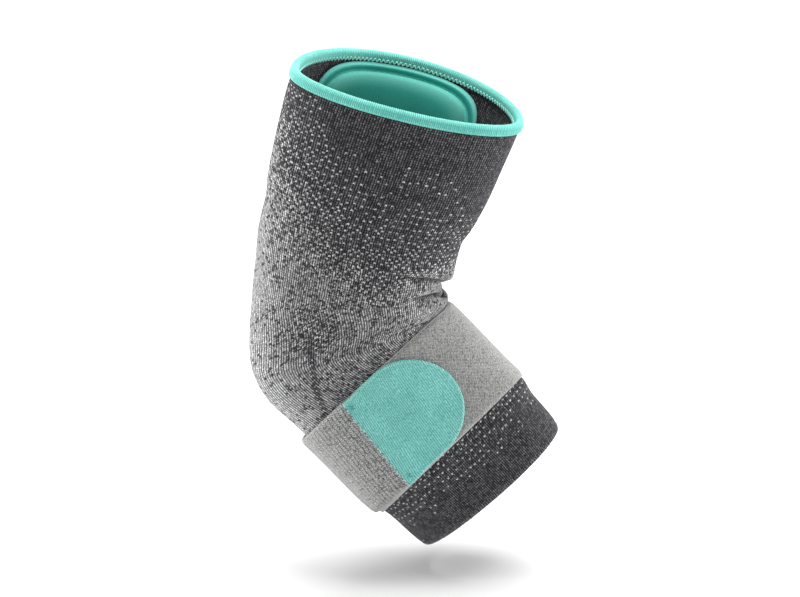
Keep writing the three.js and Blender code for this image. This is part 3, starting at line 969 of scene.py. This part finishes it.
def stationDownForearm(length, angle):
    length, angle = np.broadcast_arrays(np.float64(length), np.float64(angle))
    station = np.full(length.shape, bendStart)
    for _ in range(4):
        flat = smoothSkin(station, angle) - bendCentre
        flat[..., 1] = 0
        turn = np.arcsin(np.clip((tangentLength - length) / np.linalg.norm(flat, axis=-1), 0, 0.9))
        station = bendStart + arm["bendRadius"] * turn
    return np.where(length >= tangentLength, arm["foreLength"] - length, station)


def onStrap(down, angle, height):
    down, angle, height = np.broadcast_arrays(np.float64(down), np.float64(angle), np.float64(height))
    lift = strap["upperLift"] + (strap["lowerLift"] - strap["upperLift"]) * down / strap["width"]
    length = strap["start"] - strap["skew"] * np.cos(angle) + lift * np.sin(angle) + down
    return overSkin(stationDownForearm(length, angle), angle, height)


# Distances round the arm along the middle of the strap, from the tab's straight edge
walkAngles = np.radians(np.arange(0, 360.5, 0.5))
walkPoints = onStrap(strap["width"] / 2, tab["angle"] + walkAngles, 0)
walked = np.concatenate([[0], np.cumsum(np.linalg.norm(np.diff(walkPoints, axis=0), axis=-1))])
strapGirth = walked[-1]


def angleAfter(distance):
    turns = np.floor(distance / strapGirth)
    return tab["angle"] + np.interp(distance - turns * strapGirth, walked, walkAngles) + turns * 2 * math.pi


def besideTab(distance, down, height):  # the tab's straight edge slants across the strap
    fadeLength = np.where(distance < 0, -2.5 * tab["length"], tab["length"] - strap["width"] / 2)
    slant = tab["slant"] * (0.5 - down / strap["width"]) * np.maximum(1 - distance / fadeLength, 0)
    return onStrap(down, angleAfter(distance + slant), height)


def webbing(name, columns, closed, pointAt, thickness, rows=22):
    # Outer face from the lower edge up, then the inner face; uv is metres along and down
    shares = np.linspace(0, 1, rows)
    shares = shares - 0.06 * np.sin(2 * math.pi * shares) / (2 * math.pi)
    edge = np.clip(np.minimum(shares, 1 - shares) * strap["width"] / (thickness * 0.5), 0, 1)
    heights = np.append(thickness * (0.55 + 0.45 * np.sqrt(1 - (1 - edge) ** 2)), 0 * shares)
    shares = np.append(shares, shares[::-1])
    points, places = [], []
    for column in range(columns):
        spots, uvRow = pointAt(column, shares, heights)
        points.append(spots)
        places.append(uvRow)
    faces, corners = sweepFaces(len(shares), columns, closed)
    places = np.array(places)
    if closed:
        places = np.concatenate([places, places[:1] + np.array([strapGirth, 0])], 0)
    uvs = places[corners[..., 0], corners[..., 1] % len(shares)]
    return newPiece(name, np.array(points), faces, uvs)


def makeLoopBand():
    columns = strap["loopColumns"]
    tuckedIn = 0.0006

    def at(column, share, height):
        distance = column / columns * strapGirth
        angle = angleAfter(distance)
        lower = strap["width"] + strap["loopPeek"] * (1 - math.cos(angle)) / 2
        down = lower + (tuckedIn - lower) * share
        return onStrap(down, angle, gap + height), np.stack([distance + 0 * down, down], -1)
    return webbing("strap_loop_fabric", columns, True, at, strap["loopThickness"])


elasticStart = float(np.interp(strap["elasticEnd"] - tab["angle"], walkAngles, walked)) - strapGirth


def makeElastic():
    columns = strap["elasticColumns"]

    def at(column, share, height):
        distance = elasticStart + (tab["lap"] - elasticStart) * column / (columns - 1)
        down = strap["width"] * (1 - share)
        return besideTab(distance, down, elasticBottom + height), np.stack([distance + 0 * down, down], -1)
    return webbing("strap_elastic_webbing", columns, False, at, strap["elasticThickness"])


def tabBottom(distance):  # it comes down from the elastic's end onto the loop band
    settled = smoothstep(tab["lap"] + gap, tab["lap"] + gap + tab["step"], distance)
    return onElastic + (elasticBottom - onElastic) * settled


def makeTab():
    radius = strap["width"] / 2
    straightEnd = tab["length"] - radius
    turns = np.radians(np.linspace(0, 88, 34))
    straight = np.linspace(0, straightEnd, 50, endpoint=False)
    distances = np.concatenate([straight, straightEnd + radius * np.sin(turns)])

    def at(column, share, height):
        distance = distances[column]
        beyond = max(distance - straightEnd, 0)
        half = math.sqrt(radius * radius - beyond * beyond)
        down = radius + half - 2 * half * share
        spots = besideTab(distance, down, tabBottom(distance) + height)
        return spots, np.stack([distance + 0 * down, down], -1)
    return webbing("strap_hook_tab", len(distances), False, at, tab["thickness"], rows=30)


def selvage(down, lowest):  # 1 along the strap's two edges
    fromEdge = maths("MINIMUM", down, lowest - down)
    return ramped(fromEdge, 0.0011, 0.0007)


def loopMaterial():  # a fine weave, with dark specks that thin out towards the crook
    material, shader = newMaterial("grey loop", 0.95, 0.4, (1, 1, 1), 0.15)
    around, down = fabricPlace()
    place = objectPlace()
    speckle = cloudiness(place, 1500, 2)
    waver = cloudiness(place, 300, 1) * 0.8
    warp = around / strap["loopPitch"] + waver
    weft = down / strap["loopPitch"] + waver
    overs = [offMiddle(value) - 0.25 for value in (warp, weft)]
    weave = maths("MULTIPLY_ADD", maths("MULTIPLY", *overs), 8.0, 0.5)
    weaveDepth = ramped(around, 0.03, 0.09, 0.75, 0.35)
    specked = maths("LESS_THAN", diced(warp, weft, 6.3), ramped(around, 0.03, 0.085, 0.3, 0.1))
    tone = weave * weaveDepth + speckle * 0.9
    tone = tone - weaveDepth * 0.5
    tone = tone - specked * 0.1
    colour = mixed(ramped(tone, 0.1, 0.75), strap["loopDark"], strap["loopColour"])
    edge = selvage(down, strap["width"] + strap["loopPeek"] / 2)
    colour = mixed(edge * 0.5, colour, strap["selvage"])
    finishWith(shader, colour, tone, 0.0004)
    return material


def webMaterial():  # rows of slanting loops across the strap, lighter and with less contrast to the left, painted light
    material, shader = newMaterial("grey webbing", 0.9, 0.3, (1, 1, 1), 0.2)
    around, down = fabricPlace()
    place = objectPlace()
    waver = cloudiness(place, 420, 3) - 0.5
    column = around / strap["webPitch"] + waver * 0.9
    offRow = offMiddle(column)
    row = down / strap["webRow"] + diced(column, 0.0, 2.2)
    row = row + waver * 2.2
    row = row + offRow * 1.4
    lump = ramped(offRow, 0.5, 0.3) * ramped(offMiddle(row), 0.5, 0.2)
    chance = diced(column, row, 3.1)
    fibre = cloudiness(place, 1200, 2)
    tone = lump * maths("MULTIPLY_ADD", chance, 1.3, 0.2)
    tone = tone + maths("MULTIPLY_ADD", fibre, 1.4, -0.5)
    # Painted light: towards the left the loops are pulled to an even light grey
    leftLight = ramped(around, -0.008, -0.028, 0.0, 0.32)
    tone = mixed(leftLight, grey(tone), (0.7, 0.7, 0.7, 1))
    colour = mixed(ramped(tone, 0.0, 1.0), strap["webDark"], strap["webColour"])
    edge = selvage(down, strap["width"])
    colour = mixed(edge * 0.5, colour, strap["selvage"])
    underTab = ramped(around, -0.0016, -0.0006)
    colour = mixed(underTab * 0.8, colour, tab["shadow"])
    finishWith(shader, colour, tone, 0.0007)
    return material


def tabMaterial():
    material, shader = newMaterial("teal tab", 0.75, 0.3, (0.7, 1, 0.95), 0.25)
    around, down = fabricPlace()
    place = objectPlace()
    diagonal = around + down * 0.15
    twill = ramped(offMiddle(diagonal / tab["twill"]), 0.5, 0.1)
    fine = cloudiness(place, 1500, 2)
    broad = cloudiness(place, 70, 3)
    share = twill * 0.5 + maths("MULTIPLY_ADD", fine, 2.0, -0.8)
    share = share + maths("MULTIPLY_ADD", broad, 0.4, -0.2)
    colour = mixed(ramped(share, 0.0, 1.1), tab["deep"], tab["colour"])
    finishWith(shader, colour, twill + fine, 0.0003)
    return material


# Stitches on the tab: a light edging round it, a zigzag on its straight edge, and its tacks
def onTab(distance, down):
    face = tabBottom(distance) + tab["thickness"]
    point = besideTab(distance, down, face)
    return point, unit(besideTab(distance, down, face + 0.001) - point)


def tabRow(name, distance, down, reach, thickness, pitch, swing, colour, deep, seed):
    distance, down = np.broadcast_arrays(np.float64(distance), np.float64(down))
    path, outward = onTab(distance, down)
    bow = [(0, y, 0.0001 - y * y * 60) for y in np.linspace(-reach, reach, 4)]
    thread = threadPiece(name + "_thread", bow, thickness)
    material = threadMaterial(name, tab[colour], tab[deep])
    return rowOfThreads(name, path, outward, thread, material, pitch, swing, 0.12, seed, False)


def makeTabStitches():
    radius = strap["width"] / 2
    inset = tab["edging"]
    straightEnd = tab["length"] - radius
    turns = np.radians(np.linspace(-90, 90, 90))
    side = np.linspace(inset, straightEnd, 20, endpoint=False)
    roundPart = straightEnd + (radius - inset) * np.cos(turns)
    distance = np.concatenate([side, roundPart, side[::-1]])
    roundDown = radius + (radius - inset) * np.sin(turns)
    down = np.concatenate([inset + 0 * side, roundDown, strap["width"] - inset + 0 * side])
    edging = tabRow("tab_edging", distance, down, 0.0006, 0.0004, 0.00085, 0.25, "rim", "border", 11)
    across = np.linspace(0.0008, strap["width"] - 0.0008, 50)
    zigzag = tabRow("tab_zigzag", 0.0003, across, 0.0007, 0.00045, 0.0011, 0.5, "light", "shadow", 12)
    tacks = []
    for number, middle in enumerate((0.0042, strap["width"] - 0.0042)):
        down = np.linspace(middle - 0.0008, middle + 0.0008, 4)
        name = f"tab_tack{number}"
        tacks.append(tabRow(name, 0.0036, down, 0.0011, 0.00035, 0.0007, 0.6, "tack", "tack", 13))
    return [edging, zigzag, *tacks]


loopPiece = makeLoopBand()
loopPiece.data.materials.append(loopMaterial())
elasticPiece = makeElastic()
elasticPiece.data.materials.append(webMaterial())
tabPiece = makeTab()
tabPiece.data.materials.append(tabMaterial())
tabStitches = makeTabStitches()
print("strap: girth", round(strapGirth, 4), "elastic starts at", round(elasticStart, 4))

# What the pieces stand for
rides = {
    sleevePiece: ("knit_sleeve", "charcoal_knit"),
    weltPiece: ("top_welt", "teal_welt"),
    weltRibs: (None, "teal_welt"),
    weltStitches: (None, "teal_welt"),
    padPiece: ("gel_pad", "teal_gel"),
    loopPiece: ("strap_loop_band", "grey_loop"),
    elasticPiece: ("strap_elastic", "grey_webbing"),
    tabPiece: ("strap_tab", "teal_tab"),
    hemLoops: (None, "charcoal_knit"),
    **{stitches: (None, "teal_tab") for stitches in tabStitches},
}
for piece, (node, slotName) in rides.items():
    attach(piece, "root")
    if node:
        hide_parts(node)

# Floor, lights and camera
studio = {
    "floorDrop": 0.013,
    "floorColour": (0.93, 0.93, 0.93, 1),
    "worldStrength": 0.55,
    "distance": 3.0,
    "elevation": math.radians(20),
    "lens": 281.25,
    "target": (0.0331, 0.0, 0.0117),
    "lamps": [
        {"at": (0.2, 0.35, 1.8), "size": 2.2, "tall": 1.5, "power": 60},
        {"at": (-2.4, 0.6, 0.0), "size": 1.3, "tall": 0.25, "power": 46},
        {"at": (2.4, 0.5, 0.0), "size": 1.3, "tall": 0.25, "power": 42},
    ],
}


def makeStudio():
    lowest = cadBox[0][2] - studio["floorDrop"]
    bpy.ops.mesh.primitive_plane_add(size=12, location=(0, 0, lowest))
    floor = bpy.context.object
    floor.name = "floor"
    material = bpy.data.materials.new("pale floor")
    material.use_nodes = True
    shader = material.node_tree.nodes["Principled BSDF"]
    shader.inputs["Base Color"].default_value = studio["floorColour"]
    shader.inputs["Roughness"].default_value = 0.8
    shader.inputs["Specular IOR Level"].default_value = 0.1
    floor.data.materials.append(material)
    floor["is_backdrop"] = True
    world = bpy.data.worlds.new("studio")
    bpy.context.scene.world = world
    world.use_nodes = True
    sky = world.node_tree
    sky.nodes["Background"].inputs[0].default_value = (1, 1, 1, 1)
    sky.nodes["Background"].inputs[1].default_value = studio["worldStrength"]
    target = Vector(studio["target"])
    for number, lamp in enumerate(studio["lamps"]):
        data = bpy.data.lights.new(f"softbox{number}", "AREA")
        data.shape = "RECTANGLE"
        data.energy, data.size, data.size_y = lamp["power"], lamp["size"], lamp["tall"]
        light = newObject(data.name, data)
        light.location = lamp["at"]
        light.rotation_euler = (target - Vector(lamp["at"])).to_track_quat("-Z", "Y").to_euler()
    camera = newObject("camera", bpy.data.cameras.new("camera"))
    camera.data.lens, camera.data.sensor_width = studio["lens"], 36
    camera.data.clip_end = 50
    back = Vector((0, -math.cos(studio["elevation"]), math.sin(studio["elevation"])))
    camera.location = target + back * studio["distance"]
    camera.rotation_euler = back.to_track_quat("Z", "Y").to_euler()
    bpy.context.scene.camera = camera
    bpy.context.scene.view_settings.view_transform = "Standard"


makeStudio()
print("studio ready")

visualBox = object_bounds()
boxes = {"cad": cadBox, "visual": visualBox}
{name: [list(corner) for corner in box] for name, box in boxes.items()}
